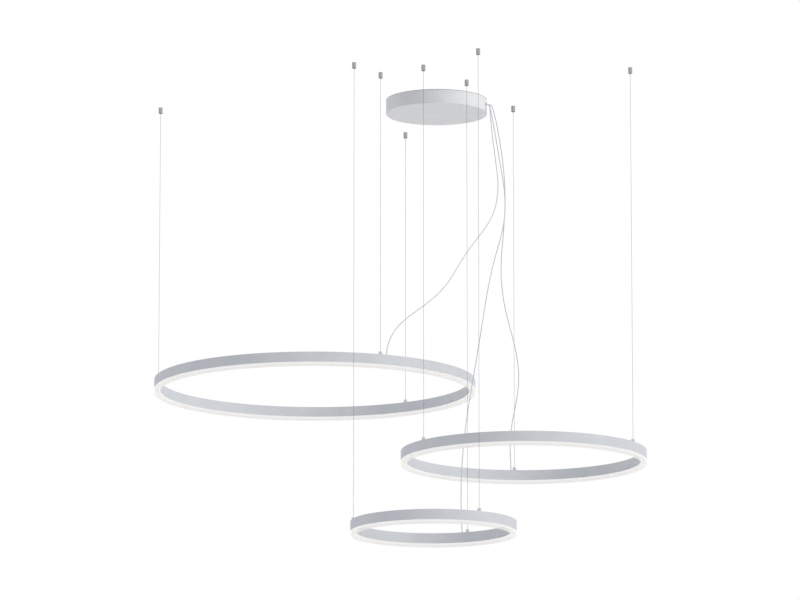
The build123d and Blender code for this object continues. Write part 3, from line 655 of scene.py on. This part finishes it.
def make_diffuser(ring):
    """The diffuser as a surface of revolution, with each point's depth, which fades its painted glow: 0 at
    the mouth, 1 at the bottom.
    """
    shape = turned(diffuser_outline(ring.outer / MM), ring.centre, ring.top, RING_SEGMENTS)
    piece = add_mesh(f"{ring.name}_diffuser_skin", *shape, OPAL)
    places = np.empty(3 * len(piece.data.vertices))
    piece.data.vertices.foreach_get("co", places)
    below = ((ring.top - places[2::3]) / MM - CHANNEL_HEIGHT) / DIFFUSER_DROP
    depth = piece.data.attributes.new("below_mouth", "FLOAT", "POINT")
    depth.data.foreach_set("value", np.clip(below, 0, 1).astype(np.float32))
    dress(piece, ring.body, "opal_plastic", f"{ring.name}_diffuser")


# ---- wire holders: millimetres above the ring's top face ----
WIRE_DIAMETER = 1.2
WIRE_BALL = 3.4
HOLDER_RADIUS = 6.5
HOLDER_HEIGHT = 11.5
HOLDER_FLANGE = 3.0
HOLDER_EDGE = 0.8
HOLDER_SPIGOT = 4.5
HOLDER_CAP_BORE = 4.6
HOLDER_CAP_ROOF = 1.5
HOLDER_CAP_HOLE = 0.8
HOLDER_STUD = 3.0
HOLDER_STUD_LENGTH = 8.0
TOUCH_GAP = 0.02
SPIGOT_TOP = HOLDER_HEIGHT - HOLDER_CAP_ROOF - WIRE_BALL - 2 * TOUCH_GAP
BALL_LEVEL = HOLDER_HEIGHT - HOLDER_CAP_ROOF - WIRE_BALL / 2 - TOUCH_GAP
SMALL_SEGMENTS = 48


def make_holders(ring):
    """Each holder's base with its spigot and stud, and the cap over it."""
    base = [
        (0, -HOLDER_STUD_LENGTH),
        (HOLDER_STUD, -HOLDER_STUD_LENGTH),
        (HOLDER_STUD, 0),
        (HOLDER_RADIUS, 0),
        (HOLDER_RADIUS, HOLDER_FLANGE),
        (HOLDER_SPIGOT, HOLDER_FLANGE),
        (HOLDER_SPIGOT, SPIGOT_TOP),
        (0, SPIGOT_TOP),
    ]
    cap = [
        (HOLDER_CAP_BORE, HOLDER_FLANGE),
        (HOLDER_RADIUS, HOLDER_FLANGE),
        (HOLDER_RADIUS, HOLDER_HEIGHT),
        (HOLDER_CAP_HOLE, HOLDER_HEIGHT),
        (HOLDER_CAP_HOLE, HOLDER_HEIGHT - HOLDER_CAP_ROOF),
        (HOLDER_CAP_BORE, HOLDER_HEIGHT - HOLDER_CAP_ROOF),
    ]
    base = rounded(base, {1: HOLDER_EDGE, 4: HOLDER_EDGE / 2})
    cap = rounded(cap, {1: HOLDER_EDGE / 2, 2: HOLDER_EDGE})
    for node, outline in (("holder_bases", base), ("holder_caps", cap)):
        shapes = [turned(outline, spot, ring.top, SMALL_SEGMENTS) for spot in ring.wires]
        piece = add_mesh(f"{ring.name}_{node}_skin", *joined(shapes), SATIN_CHROME)
        dress(piece, ring.body, "chrome_plate", f"{ring.name}_{node}")


# ---- ceiling grippers: millimetres under the ceiling ----
CUP_RADIUS = 7.5
CUP_HEIGHT = 22.0
CUP_WALL = 1.0
CUP_FLOOR = 2.5
CUP_EDGE = 0.6
CUP_HOLE = 2.6
NOSE_RADIUS = 2.5
NOSE_PROUD = 3.0
NOSE_TIP = 1.0
NOSE_BORE = 0.7
NOSE_NECK = 1.5
NOSE_FLANGE = 3.8
NOSE_FLANGE_HEIGHT = 1.2
BALL_RADIUS = 1.0
BALL_DEPTH = 13.02
COIL_TOP = 8.22
COIL_BOTTOM = 11.8
COIL_TURNS = 4
COIL_RADIUS = 2.1
COIL_WIRE = 0.4
COIL_STEPS = 24
COIL_SIDES = 10


def make_cups():
    """The nine cups, with painted shade: the flat ring under each takes a second, dark finish."""
    outline = [
        (CUP_RADIUS - CUP_WALL, 0),
        (CUP_RADIUS - CUP_WALL, CUP_FLOOR - CUP_HEIGHT),
        (CUP_HOLE, CUP_FLOOR - CUP_HEIGHT),
        (CUP_HOLE, -CUP_HEIGHT),
        (CUP_RADIUS, -CUP_HEIGHT),
        (CUP_RADIUS, 0),
    ]
    outline = rounded(outline, {4: CUP_EDGE, 5: CUP_EDGE / 3})
    shapes = [turned(outline, spot, 0.0, SMALL_SEGMENTS) for ring in RINGS for spot in ring.wires]
    piece = add_mesh("gripper_cups_skin", *joined(shapes), CHROME)
    # Painted shade: the flat ring under each cup is dark.
    second_finish(piece, PAINTED_SHADE_FINISH, np.abs(polygon_middles(piece)[:, 2] + CUP_HEIGHT * MM) < NEAR * MM)
    dress(piece, "canopy", "chrome_plate", "gripper_cups")


def make_noses(ring):
    """Each release nose with its three balls round the wire, which go up together when it is pushed."""
    flange_top = CUP_FLOOR - CUP_HEIGHT + NOSE_FLANGE_HEIGHT
    tip = -BALL_DEPTH - BALL_RADIUS - TOUCH_GAP
    nose = [
        (NOSE_BORE, -CUP_HEIGHT - NOSE_PROUD),
        (NOSE_RADIUS, -CUP_HEIGHT - NOSE_PROUD),
        (NOSE_RADIUS, CUP_FLOOR - CUP_HEIGHT),
        (NOSE_FLANGE, CUP_FLOOR - CUP_HEIGHT),
        (NOSE_FLANGE, flange_top),
        (NOSE_NECK, flange_top),
        (NOSE_NECK, tip),
        (NOSE_BORE, tip),
    ]
    nose = rounded(nose, {1: NOSE_TIP})
    ball = ball_outline(BALL_RADIUS, -BALL_DEPTH)
    orbit = (WIRE_DIAMETER / 2 + BALL_RADIUS + TOUCH_GAP) * MM
    for k, (x, y) in enumerate(ring.wires):
        balls = [(x + orbit * cos(a), y + orbit * sin(a)) for a in (0, tau / 3, 2 * tau / 3)]
        shapes = [turned(nose, (x, y), 0.0, SMALL_SEGMENTS)]
        shapes += [turned(ball, spot, 0.0, BALL_SEGMENTS) for spot in balls]
        name = f"{ring.name}_release_{k + 1}"
        piece = add_mesh(f"{name}_skin", *joined(shapes), CHROME)
        dress(piece, name, "chrome_plate", name)


def make_springs(ring):
    """The coil spring on each release's balls, in a fixed pose: it does not shorten here as the nose is
    pushed up.

    It is a tube along a helix: r (cos t, sin t) about the wire, at a height that rises evenly with t.
    """
    share = np.linspace(0, 1, COIL_STEPS * COIL_TURNS + 1)
    turn = tau * COIL_TURNS * share
    height = -(COIL_BOTTOM + (COIL_TOP - COIL_BOTTOM) * share) * MM
    for k, (x, y) in enumerate(ring.wires):
        coil = [x + COIL_RADIUS * MM * np.cos(turn), y + COIL_RADIUS * MM * np.sin(turn), height]
        shape = tube(np.stack(coil, -1), COIL_WIRE / 2 * MM, COIL_SIDES)
        piece = add_mesh(f"{ring.name}_spring_{k + 1}_skin", *shape, SPRING)
        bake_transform(piece)
        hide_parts("gripper_springs")


# ---- wires and cords ----
WIRE_TOP = -6.2
STRAND_LAY = 9.0
STRAND_STEP = 1.5
STRAND_COUNT = 6
STRAND_DEPTH = 0.06
STRAND_SHARP_ANGLE = 80.0
CORD_STEPS = 10
CORD_SIDES = 16


def make_wires(ring):
    """The ring's three wires: straight laid strands from the ball end in the holder up to the gripper."""
    low = ring.top + BALL_LEVEL * MM
    high = WIRE_TOP * MM
    radius = WIRE_DIAMETER / 2 * MM / (1 + STRAND_DEPTH)
    shapes = []
    for x, y in ring.wires:
        heights = np.linspace(high, low, round((high - low) / (STRAND_STEP * MM)))
        path = np.stack([np.full_like(heights, x), np.full_like(heights, y), heights], -1)
        shapes.append(tube(path, radius, 2 * STRAND_COUNT, 1 / (STRAND_LAY * MM), STRAND_COUNT, STRAND_DEPTH))
        shapes.append(turned(ball_outline(WIRE_BALL / 2), (x, y), low, BALL_SEGMENTS))
    piece = add_mesh(f"{ring.name}_wires_skin", *joined(shapes), STRAND, STRAND_SHARP_ANGLE)
    x, y = ring.wires[0]
    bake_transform(piece)
    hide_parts(f"{ring.name}_wires")


def make_cord(ring):
    """The ring's feed cord, from its driver out of the canopy's outlet and down into the ring."""
    points = route_points(ring)
    path = smooth_line(f"{ring.name}_cord_line", points, CORD_STEPS)
    piece = add_mesh(f"{ring.name}_feed_cord_skin", *tube(path, CORD_DIAMETER / 2 * MM, CORD_SIDES), SHEATH)
    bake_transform(piece)
    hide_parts(f"{ring.name}_feed_cord")


# ---- cord grommets on the rings: millimetres above the ring's top face ----
GROMMET_FLANGE = 3.9
GROMMET_HEIGHT = 1.6
GROMMET_NECK = 3.1
GROMMET_BORE = 2.0


def make_grommet(ring):
    """The rubber grommet round the cord: a rounded flange on the roof, a neck in its hole, a bead below."""
    bead = -CHANNEL_ROOF - GROMMET_HEIGHT
    outline = [
        (GROMMET_BORE, GROMMET_HEIGHT),
        (GROMMET_BORE, bead),
        (GROMMET_FLANGE, bead),
        (GROMMET_FLANGE, -CHANNEL_ROOF),
        (GROMMET_NECK, -CHANNEL_ROOF),
        (GROMMET_NECK, 0),
        (GROMMET_FLANGE, 0),
        (GROMMET_FLANGE, GROMMET_HEIGHT),
    ]
    outline = rounded(outline, {2: GROMMET_HEIGHT / 3, 7: GROMMET_HEIGHT / 2})
    shape = turned(outline, ring.feed(), ring.top, SMALL_SEGMENTS)
    piece = add_mesh(f"{ring.name}_cord_grommet_skin", *shape, RUBBER)
    dress(piece, ring.body, "grey_rubber", f"{ring.name}_cord_grommet")


# ---- canopy cover and the rubber edging of its outlet ----
CANOPY_RADIUS = 190.0
CANOPY_BOTTOM = 55.5
CANOPY_TOP = 2.0
COVER_WALL = 1.2
COVER_LIP = 5.0
COVER_EDGE = 2.0
OUTLET_LENGTH = 15.5
OUTLET_HEIGHT = 6.0
OUTLET_RUBBER = 1.4
OUTLET_FLANGE = 1.2
OUTLET_FLANGE_THICKNESS = 1.5
OUTLET_EDGE = 0.5
OUTLET_OUTER_EDGE = 0.7
OUTLET_SEGMENTS = 72
WALL_COLUMNS = 360
BOTTOM_SHARES = np.linspace(0.1, 0.9, 9)
EDGE_STEPS = 6
# The patch round the outlet: its columns and rows on the wall, a row's height, and its rings of points.
PATCH_COLUMNS = 12
PATCH_ROWS = 6
PATCH_ROW = 3.2
PATCH_LEVELS = 4
# The least rise of a ray, which keeps a level one from dividing by zero.
LEAST_RISE = 1e-9


def stadium(angles, length, height):
    """The outline of a slot with round ends, length by height: where rays from its middle meet it.

    A ray at angle a meets a flat side, half the height / |sin a| away, or else one of the round ends.
    """
    u, v = np.cos(angles), np.sin(angles)
    radius = height / 2
    half = length / 2 - radius
    flat = radius / np.maximum(np.abs(v), LEAST_RISE)
    along = half * np.abs(u)
    round_end = along + np.sqrt(np.maximum(along**2 - half**2 + radius**2, 0))
    reach = np.where(np.abs(flat * u) <= half, flat, round_end)
    return reach * u, reach * v


def on_wall(radius, across, level):
    """Points of the side wall at a radius, across millimetres round the canopy from the outlet's middle."""
    angle = radians(OUTLET_ANGLE) + across / CANOPY_RADIUS
    return np.stack([radius * np.cos(angle), radius * np.sin(angle), level], -1) * MM


def cover_outline(levels):
    """The drum's section (r, z): bottom, rounded edge, wall with a point at each level, lip, and inside."""
    top, bottom = -CANOPY_TOP, -CANOPY_BOTTOM
    edge = CANOPY_RADIUS - COVER_EDGE
    inside = CANOPY_RADIUS - COVER_WALL
    lip = CANOPY_RADIUS - COVER_LIP
    arc = np.linspace(0, pi / 2, EDGE_STEPS + 1)
    outline = [(0, bottom), *((edge * share, bottom) for share in BOTTOM_SHARES)]
    outline += [(edge + COVER_EDGE * sin(a), bottom + COVER_EDGE * (1 - cos(a))) for a in arc]
    outline += [(CANOPY_RADIUS, level) for level in levels]
    outline += [(CANOPY_RADIUS, top - COVER_WALL), (CANOPY_RADIUS, top), (lip, top), (lip, top - COVER_WALL)]
    outline += [(inside, top - COVER_WALL), *((inside, level) for level in levels[::-1])]
    outline += [(inside, bottom + COVER_WALL), (0, bottom + COVER_WALL)]
    return np.array(outline)


def open_drum(levels):
    """The drum as a surface of revolution, left open on both sides of the wall where the patch goes."""
    outline = cover_outline(levels)
    angles = radians(OUTLET_ANGLE) + (np.arange(WALL_COLUMNS) - PATCH_COLUMNS / 2) * tau / WALL_COLUMNS
    r, z = outline[:, 0], outline[:, 1]
    x, y = np.outer(np.cos(angles), r), np.outer(np.sin(angles), r)
    vertices = np.stack([x, y, np.broadcast_to(z, x.shape)], -1).reshape(-1, 3) * MM
    faces = grid_faces(WALL_COLUMNS, len(outline), True, True)[:, ::-1]
    columns, rows = faces // len(outline), faces % len(outline)
    upright = np.ptp(r[rows], axis=1) < NEAR
    wall = upright & (r[rows].min(axis=1) > CANOPY_RADIUS - COVER_WALL - NEAR)
    high = (z[rows].min(axis=1) > levels[0] - NEAR) & (z[rows].max(axis=1) < levels[-1] + NEAR)
    in_patch = wall & high & (columns.max(axis=1) <= PATCH_COLUMNS)
    on_axis = r[rows].max(axis=1) < NEAR
    return vertices, faces[~in_patch & ~on_axis]


def slot_patch():
    """The wall round the outlet: its outside, its inside, and what joins them along the slot's edge.

    Its points lie t of the way from the slot's edge to the patch's border, in the unrolled wall.
    """
    half_width = PATCH_COLUMNS / 2 * tau * CANOPY_RADIUS / WALL_COLUMNS
    half_height = PATCH_ROWS / 2 * PATCH_ROW
    across = np.linspace(-half_width, half_width, PATCH_COLUMNS + 1)
    rise = np.linspace(-half_height, half_height, PATCH_ROWS + 1)
    right, left = np.full(PATCH_ROWS, half_width), np.full(PATCH_ROWS, -half_width)
    low, high = np.full(PATCH_COLUMNS, -half_height), np.full(PATCH_COLUMNS, half_height)
    border_u = np.concatenate([across[:-1], right, across[:0:-1], left])
    border_v = np.concatenate([low, rise[:-1], high, rise[:0:-1]])
    angles = np.arctan2(border_v, border_u)
    slot_u, slot_v = stadium(angles, OUTLET_LENGTH + 2 * OUTLET_RUBBER, OUTLET_HEIGHT + 2 * OUTLET_RUBBER)
    t = np.linspace(0, 1, PATCH_LEVELS)[:, None]
    u = slot_u + t * (border_u - slot_u)
    v = slot_v + t * (border_v - slot_v) - OUTLET_DEPTH
    count = len(border_u)
    outer = on_wall(CANOPY_RADIUS, u, v).reshape(-1, 3)
    inner = on_wall(CANOPY_RADIUS - COVER_WALL, u, v).reshape(-1, 3)
    rim = np.concatenate([outer[:count], inner[:count]])
    patch = grid_faces(PATCH_LEVELS, count, False, True)
    return [(outer, patch[:, ::-1]), (inner, patch), (rim, grid_faces(2, count, False, True))]


def make_cover():
    """The drum with its outlet, and its top lip dark as a painted shadow line."""
    levels = -OUTLET_DEPTH + PATCH_ROW * np.arange(-PATCH_ROWS // 2, PATCH_ROWS // 2 + 1)
    piece = add_mesh("canopy_cover_skin", *joined([open_drum(levels), *slot_patch()]), POWDER)
    # Painted shadow: the faces of the top lip are dark, in place of the shadow gap under the ceiling.
    second_finish(piece, PAINTED_SHADE_FINISH, polygon_middles(piece)[:, 2] > (NEAR - CANOPY_TOP - COVER_WALL) * MM)
    dress(piece, "canopy", "painted_steel", "canopy_cover")


def make_outlet_edging():
    """The rubber edging: a section of two flanges and a neck, carried round the slot's outline."""
    wide = OUTLET_RUBBER + OUTLET_FLANGE
    back = -COVER_WALL - OUTLET_FLANGE_THICKNESS
    section = [
        (0, back),
        (0, OUTLET_FLANGE_THICKNESS),
        (wide, OUTLET_FLANGE_THICKNESS),
        (wide, 0),
        (OUTLET_RUBBER, 0),
        (OUTLET_RUBBER, -COVER_WALL),
        (wide, -COVER_WALL),
        (wide, back),
    ]
    section = rounded(section, {1: OUTLET_EDGE, 2: OUTLET_OUTER_EDGE, 7: OUTLET_EDGE})
    angles = np.arange(OUTLET_SEGMENTS) * tau / OUTLET_SEGMENTS
    margin, proud = section[:, :1], section[:, 1:]
    u, v = stadium(angles, OUTLET_LENGTH + 2 * margin, OUTLET_HEIGHT + 2 * margin)
    vertices = on_wall(CANOPY_RADIUS + proud, u, v - OUTLET_DEPTH).reshape(-1, 3)
    faces = grid_faces(len(section), OUTLET_SEGMENTS, True, True)[:, ::-1]
    piece = add_mesh("outlet_grommet_skin", vertices, faces, RUBBER)
    dress(piece, "canopy", "grey_rubber", "outlet_grommet")


for ring in RINGS:
    make_cord(ring)
    make_channel(ring)
    make_diffuser(ring)
    make_holders(ring)
    make_noses(ring)
    make_springs(ring)
    make_wires(ring)
    make_grommet(ring)
make_cups()
make_cover()
make_outlet_edging()

# ---- floor, sky and lamps ----
FLOOR_LEVEL = -6.5
FLOOR_RADIUS = 14.0
FLOOR_SEGMENTS = 96
FLOOR_CLOUDS = 0.8
FLOOR_TONES = [(0.3, "#f1f1f0"), (0.7, "#f4f4f3")]
SUN_AZIMUTH = -22.0
SUN_HEIGHT = 28.0
SUN_STRENGTH = 2.1
SUN_SPREAD = 28.0
FILL_AZIMUTH = 150.0
FILL_HEIGHT = 10.0
FILL_STRENGTH = 0.5
FILL_SPREAD = 60.0
LIFT_HEIGHT = -50.0
LIFT_STRENGTH = 0.6
LIFT_SPREAD = 60.0
# The sky runs from its first tone on the left to its second towards SKY_RIGHT, in mirrors and as light.
SKY_RIGHT = (0.94, -0.34, 0.0)
SKY_MIRROR = [(0.25, "#dfe1e6"), (0.8, "#ffffff")]
SKY_LIGHT = [(0.2, "#f4f8ff"), (0.8, "#fcfdff")]
SKY_STRENGTH = 0.65


def make_floor():
    """A pale round floor far under the lamp; from below it is clear, so that the lamp still shows."""
    material, tree = new_tree("pale_plaster_floor")
    place = add_node(tree, "ShaderNodeTexCoord").outputs["Object"]
    cloud = add_node(tree, "ShaderNodeTexNoise", {"Vector": place, "Scale": FLOOR_CLOUDS})
    tone = add_node(tree, "ShaderNodeValToRGB", {"Fac": cloud.outputs["Fac"]}, FLOOR_TONES)
    matt = add_node(tree, "ShaderNodeBsdfDiffuse", {"Color": tone.outputs["Color"]})
    clear = add_node(tree, "ShaderNodeBsdfTransparent")
    back = add_node(tree, "ShaderNodeNewGeometry").outputs["Backfacing"]
    both = add_node(tree, "ShaderNodeMixShader", {0: back, 1: matt.outputs["BSDF"], 2: clear.outputs["BSDF"]})
    add_node(tree, "ShaderNodeOutputMaterial", {"Surface": both.outputs["Shader"]})
    a = np.arange(FLOOR_SEGMENTS) * tau / FLOOR_SEGMENTS
    edge = np.stack([FLOOR_RADIUS * np.cos(a), FLOOR_RADIUS * np.sin(a), np.full_like(a, FLOOR_LEVEL)], -1)
    floor = add_mesh("floor", edge, [range(FLOOR_SEGMENTS)], material)
    floor.visible_shadow = False


def make_sky():
    """An even pale sky: white to the eye and through clear things, brighter to the right in mirrors."""
    world = bpy.data.worlds.new("studio_sky")
    world.use_nodes = True
    bpy.context.scene.world = world
    tree = world.node_tree
    tree.nodes.clear()
    place = add_node(tree, "ShaderNodeTexCoord").outputs["Generated"]
    side = add_node(tree, "ShaderNodeVectorMath", {0: place, 1: SKY_RIGHT}, operation="DOT_PRODUCT")
    share = add_node(tree, "ShaderNodeMapRange", {"Value": side.outputs["Value"], "From Min": -1.0})
    mirror = add_node(tree, "ShaderNodeValToRGB", {"Fac": share.outputs["Result"]}, SKY_MIRROR)
    light = add_node(tree, "ShaderNodeValToRGB", {"Fac": share.outputs["Result"]}, SKY_LIGHT)
    path = add_node(tree, "ShaderNodeLightPath")
    seen = add_node(tree, "ShaderNodeBackground", {"Color": linear("#ffffff"), "Strength": 1.0})
    shiny = add_node(tree, "ShaderNodeBackground", {"Color": mirror.outputs["Color"], "Strength": 1.0})
    lit = add_node(tree, "ShaderNodeBackground", {"Color": light.outputs["Color"], "Strength": SKY_STRENGTH})
    first = {0: path.outputs["Is Glossy Ray"], 1: lit.outputs["Background"], 2: shiny.outputs["Background"]}
    mixed = add_node(tree, "ShaderNodeMixShader", first)
    direct = {0: path.outputs["Is Camera Ray"], 1: path.outputs["Is Transmission Ray"]}
    eye = add_node(tree, "ShaderNodeMath", direct, operation="MAXIMUM")
    second = {0: eye.outputs["Value"], 1: mixed.outputs["Shader"], 2: seen.outputs["Background"]}
    sky = add_node(tree, "ShaderNodeMixShader", second)
    add_node(tree, "ShaderNodeOutputWorld", {"Surface": sky.outputs["Shader"]})


def make_sun(name, azimuth, height, strength, spread):
    """A soft distant lamp that shines from an azimuth and a height, in degrees, and isn't seen in mirrors."""
    data = bpy.data.lights.new(name, "SUN")
    data.energy = strength
    data.angle = radians(spread)
    lamp = bpy.data.objects.new(name, data)
    lamp.rotation_euler = (0, radians(90 - height), radians(azimuth))
    lamp.visible_glossy = False
    bpy.context.collection.objects.link(lamp)


make_floor()
make_sky()
make_sun("key_light", SUN_AZIMUTH, SUN_HEIGHT, SUN_STRENGTH, SUN_SPREAD)
make_sun("fill_light", FILL_AZIMUTH, FILL_HEIGHT, FILL_STRENGTH, FILL_SPREAD)
make_sun("lift_light", SUN_AZIMUTH, LIFT_HEIGHT, LIFT_STRENGTH, LIFT_SPREAD)
bpy.context.scene.view_settings.view_transform = "Standard"
